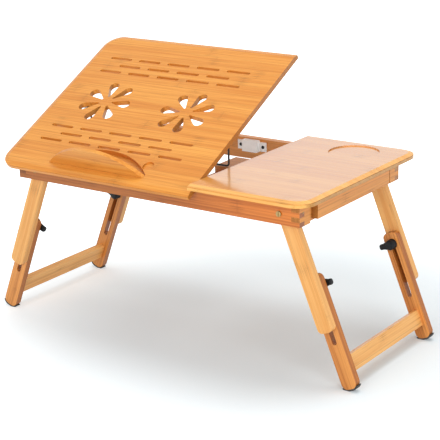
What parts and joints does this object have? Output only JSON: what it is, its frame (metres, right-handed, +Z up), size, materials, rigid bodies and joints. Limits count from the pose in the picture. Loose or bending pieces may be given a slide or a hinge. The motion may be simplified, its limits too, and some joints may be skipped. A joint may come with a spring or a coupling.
{
  "type": "laptop stand with drawer",
  "caption": "Low folding laptop table with a tilting vented board, a flip-up ledge, a fixed side board with a cup recess and a side drawer, on splayed telescoping legs.",
  "frame": {"origin": "on the ground under the middle of the frame, with the legs out and run fully down", "axes": "+X towards the drawer's end, +Y towards the back, +Z up"},
  "size_m": [0.655, 0.324, 0.4043],
  "materials": {
    "frame_bamboo": "clear lacquered carbonised bamboo, reddish",
    "drawer_bamboo": "plain bamboo, satin",
    "top_bamboo": "glossy lacquered bamboo strips",
    "leg_bamboo": "satin lacquered bamboo",
    "foot_rubber": "matte",
    "black_plastic": "semi-matte moulded",
    "white_plastic": "moulded",
    "black_wire": "black coated steel wire",
    "brass_bolt": "dull brass plated, slotted",
    "steel": "zinc plated"
  },
  "bodies": {
    "frame": {"front_rail": "frame_bamboo", "front_rail_right": "frame_bamboo", "back_rail": "frame_bamboo", "left_end_rail": "frame_bamboo", "divider": "frame_bamboo", "stile_front": "frame_bamboo", "stile_back": "frame_bamboo", "fixed_top": "top_bamboo", "rack_right": "frame_bamboo", "rack_riser_right": "frame_bamboo", "rack_step_right": "frame_bamboo", "rack_left": "frame_bamboo", "rack_riser_left": "frame_bamboo", "rack_step_left": "frame_bamboo", "guide_front": "frame_bamboo", "guide_back": "frame_bamboo", "magnetic_catch": "white_plastic", "hinge_left_frame": "steel", "hinge_right_frame": "steel", "pivot_bolt_front_left": "brass_bolt", "pivot_bolt_front_right": "brass_bolt", "pivot_bolt_back_left": "brass_bolt", "pivot_bolt_back_right": "brass_bolt"},
    "tilt_board": {"tilt_panel": "top_bamboo", "strike_plate": "steel", "hinge_left_panel": "steel", "hinge_right_panel": "steel", "prop_clip_left": "steel", "prop_clip_right": "steel"},
    "prop": {"prop_wire": "black_wire"},
    "ledge": {"ledge": "top_bamboo", "ledge_pin_left": "steel", "ledge_pin_right": "steel"},
    "drawer": {"drawer_front": "frame_bamboo", "drawer_side_front": "drawer_bamboo", "drawer_side_back": "drawer_bamboo", "drawer_end": "drawer_bamboo", "drawer_bottom": "drawer_bamboo"},
    "left_upper_legs": {"upper_leg_front_left": "leg_bamboo", "upper_leg_back_left": "leg_bamboo"},
    "left_lower_legs": {"lower_leg_front_left": "leg_bamboo", "lower_leg_back_left": "leg_bamboo", "crossbar_left": "leg_bamboo", "foot_pad_front_left": "foot_rubber", "foot_pad_back_left": "foot_rubber"},
    "knob_front_left": {"knob_front_left": "black_plastic", "clamp_bolt_front_left": "steel"},
    "knob_back_left": {"knob_back_left": "black_plastic", "clamp_bolt_back_left": "steel"},
    "right_upper_legs": {"upper_leg_front_right": "leg_bamboo", "upper_leg_back_right": "leg_bamboo"},
    "right_lower_legs": {"lower_leg_front_right": "leg_bamboo", "lower_leg_back_right": "leg_bamboo", "crossbar_right": "leg_bamboo", "foot_pad_front_right": "foot_rubber", "foot_pad_back_right": "foot_rubber"},
    "knob_front_right": {"knob_front_right": "black_plastic", "clamp_bolt_front_right": "steel"},
    "knob_back_right": {"knob_back_right": "black_plastic", "clamp_bolt_back_right": "steel"}
  },
  "joints": [
    {"name": "panel_tilt", "type": "hinge", "parent": "frame", "child": "tilt_board", "pos_m": [0, -0.128, 0.26802], "axis": [-1, 0, 0], "range_deg": [0, 27.4]},
    {"name": "prop_fold", "type": "hinge", "parent": "tilt_board", "child": "prop", "pos_m": [0, -0.015, 0.32119], "axis": [-1, 0, 0], "range_deg": [0, 63]},
    {"name": "ledge_flip", "type": "hinge", "parent": "tilt_board", "child": "ledge", "pos_m": [-0.0958, -0.14034, 0.26467], "axis": [-1, 0, 0], "range_deg": [0, 90]},
    {"name": "drawer_slide", "type": "slide", "parent": "frame", "child": "drawer", "axis": [1, 0, 0], "range_m": [0, 0.12]},
    {"name": "left_leg_fold", "type": "hinge", "parent": "frame", "child": "left_upper_legs", "pos_m": [-0.2194, 0, 0.24672], "axis": [0, -1, 0], "range_deg": [0, 111.8]},
    {"name": "right_leg_fold", "type": "hinge", "parent": "frame", "child": "right_upper_legs", "pos_m": [0.2194, 0, 0.24672], "axis": [0, 1, 0], "range_deg": [0, 111.8]},
    {"name": "left_leg_slide", "type": "slide", "parent": "left_upper_legs", "child": "left_lower_legs", "axis": [0.3714, 0, 0.9285], "range_m": [0, 0.08]},
    {"name": "knob_front_left_turn", "type": "hinge", "parent": "left_upper_legs", "child": "knob_front_left", "pos_m": [-0.26137, -0.1081, 0.1418], "axis": [0, -1, 0], "continuous": true},
    {"name": "knob_back_left_turn", "type": "hinge", "parent": "left_upper_legs", "child": "knob_back_left", "pos_m": [-0.26137, 0.1081, 0.1418], "axis": [0, 1, 0], "continuous": true},
    {"name": "right_leg_slide", "type": "slide", "parent": "right_upper_legs", "child": "right_lower_legs", "axis": [-0.3714, 0, 0.9285], "range_m": [0, 0.08]},
    {"name": "knob_front_right_turn", "type": "hinge", "parent": "right_upper_legs", "child": "knob_front_right", "pos_m": [0.26137, -0.1081, 0.1418], "axis": [0, -1, 0], "continuous": true},
    {"name": "knob_back_right_turn", "type": "hinge", "parent": "right_upper_legs", "child": "knob_back_right", "pos_m": [0.26137, 0.1081, 0.1418], "axis": [0, 1, 0], "continuous": true}
  ],
  "couplings": [
    {"joint": "prop_fold", "follows": "panel_tilt", "ratio": 2.2847}
  ]
}
